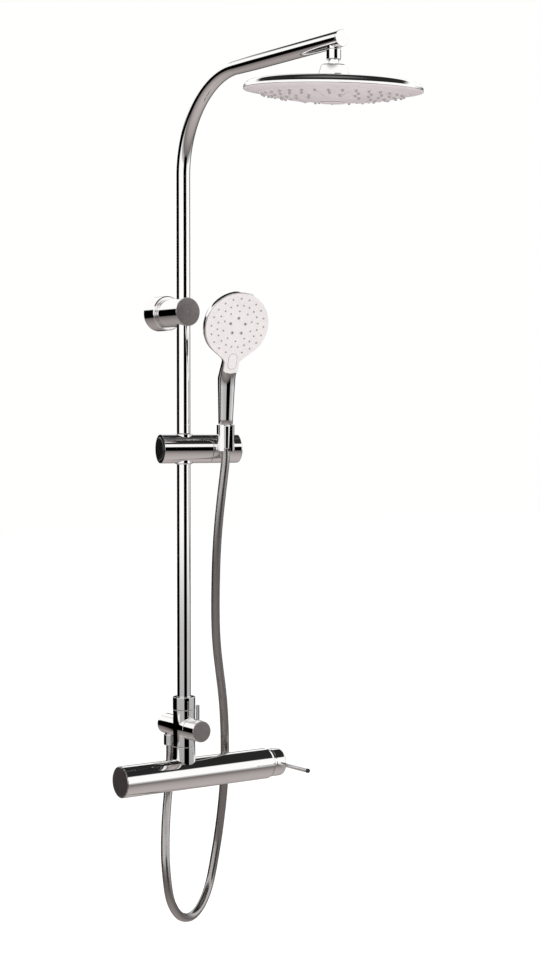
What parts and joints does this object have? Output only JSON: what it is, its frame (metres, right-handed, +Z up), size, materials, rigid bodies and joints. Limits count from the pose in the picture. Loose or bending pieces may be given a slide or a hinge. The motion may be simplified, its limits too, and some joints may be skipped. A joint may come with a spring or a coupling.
{
  "type": "rainfall shower column",
  "caption": "Chrome wall-mounted shower column with a round rain shower on a bent riser arm, sliding hand shower on a hose, diverter and side-lever mixer.",
  "frame": {"origin": "centre of the wall bracket's rear face, on the wall", "axes": "+Z up along the riser, +Y into the wall, +X to the right along the wall seen from the room"},
  "size_m": [0.317, 0.5963, 1.3745],
  "materials": {
    "chrome": "polished mirror chrome plating",
    "hose_metal": "smooth satin dark silver hose sleeve",
    "white_plastic": "semi-gloss off-white spray face",
    "pale_face": "soft matt light grey spray face with a warm tint",
    "grey_plastic": "matt moulded plastic",
    "black_plastic": "glossy black",
    "brass": "turned brass",
    "steel": "plain steel",
    "rubber_seal": "matt black rubber"
  },
  "bodies": {
    "root": {"bracket_flange": "chrome", "bracket_body": "chrome", "bracket_grub_screw": "steel", "bracket_wall_screw_left": "steel", "bracket_wall_screw_right": "steel", "riser_pipe": "chrome", "arm_tube": "chrome", "arm_end_cap": "chrome", "arm_nipple": "chrome", "swivel_nut": "chrome", "swivel_washer": "rubber_seal", "ball_stem": "chrome", "mixer_body": "chrome", "mixer_end_cap": "chrome", "inlet_nut_left": "chrome", "inlet_nut_right": "chrome", "inlet_filter_left": "rubber_seal", "inlet_filter_right": "rubber_seal", "mixer_cartridge": "grey_plastic", "cartridge_retaining_nut": "brass", "cartridge_cover": "chrome", "diverter_lower_nut": "chrome", "diverter_body": "chrome", "riser_nut": "chrome", "riser_seal": "rubber_seal", "hose_outlet_nut": "chrome", "hose_outlet_washer": "rubber_seal", "shower_hose": "hose_metal"},
    "head_swivel": {"ball_seat": "grey_plastic"},
    "rain_head": {"head_boss": "chrome", "head_shell": "chrome", "head_face": "pale_face", "head_nozzle_mat": "grey_plastic", "head_centre_cap": "pale_face"},
    "slider": {"slider_body": "chrome", "slider_bush_upper": "chrome", "slider_bush_lower": "chrome", "slider_brake_shoe": "black_plastic", "lock_return_spring": "steel", "holder_spindle": "brass"},
    "lock_button": {"slider_lock_button": "black_plastic"},
    "holder": {"handset_holder": "chrome"},
    "handset": {"handset_body": "chrome", "handset_face": "white_plastic", "handset_nozzle_mat": "grey_plastic", "button_return_spring": "steel", "hose_cone_nut": "chrome"},
    "spray_button": {"handset_button": "white_plastic"},
    "diverter_knob": {"diverter_knob": "chrome", "diverter_spool": "brass", "diverter_lever_pin": "chrome"},
    "mixer_stem": {"cartridge_stem": "brass"},
    "mixer_lever": {"mixer_handle": "chrome", "lever_rod": "chrome", "lever_tip": "black_plastic"}
  },
  "joints": [
    {"name": "slider_height", "type": "slide", "parent": "root", "child": "slider", "axis": [0, 0, 1], "range_m": [-0.24, 0.15], "deforming": ["shower_hose"]},
    {"name": "slider_lock_press", "type": "slide", "parent": "slider", "child": "lock_button", "axis": [0.9781, -0.2079, 0], "range_m": [0, 0.003], "stiffness_N_per_m": 900},
    {"name": "holder_tilt", "type": "hinge", "parent": "slider", "child": "holder", "pos_m": [0, -0.076, -0.219], "axis": [0.9781, -0.2079, 0], "range_deg": [-4, 25], "deforming": ["shower_hose"]},
    {"name": "handset_turn", "type": "hinge", "parent": "holder", "child": "handset", "pos_m": [0.05524, -0.11432, -0.2], "axis": [0, 0, 1], "range_deg": [-25, 60]},
    {"name": "spray_button_press", "type": "slide", "parent": "handset", "child": "spray_button", "axis": [0.1632, 0.9254, 0.342], "range_m": [0, 0.0018], "stiffness_N_per_m": 700},
    {"name": "head_tilt_front", "type": "hinge", "parent": "root", "child": "head_swivel", "pos_m": [0, -0.47, 0.3204], "axis": [1, 0, 0], "range_deg": [-19, 9]},
    {"name": "head_tilt_side", "type": "hinge", "parent": "head_swivel", "child": "rain_head", "pos_m": [0, -0.47, 0.3204], "axis": [0, 1, 0], "range_deg": [-12, 16]},
    {"name": "diverter_turn", "type": "hinge", "parent": "root", "child": "diverter_knob", "pos_m": [0, -0.1, -0.6684], "axis": [0, 1, 0], "range_deg": [-90, 90]},
    {"name": "mixer_temperature", "type": "hinge", "parent": "root", "child": "mixer_stem", "pos_m": [0.15, -0.076, -0.744], "axis": [1, 0, 0], "range_deg": [-45, 45]},
    {"name": "mixer_flow", "type": "hinge", "parent": "mixer_stem", "child": "mixer_lever", "pos_m": [0.1841, -0.076, -0.744], "axis": [0, 0, 1], "range_deg": [0, 18]}
  ]
}
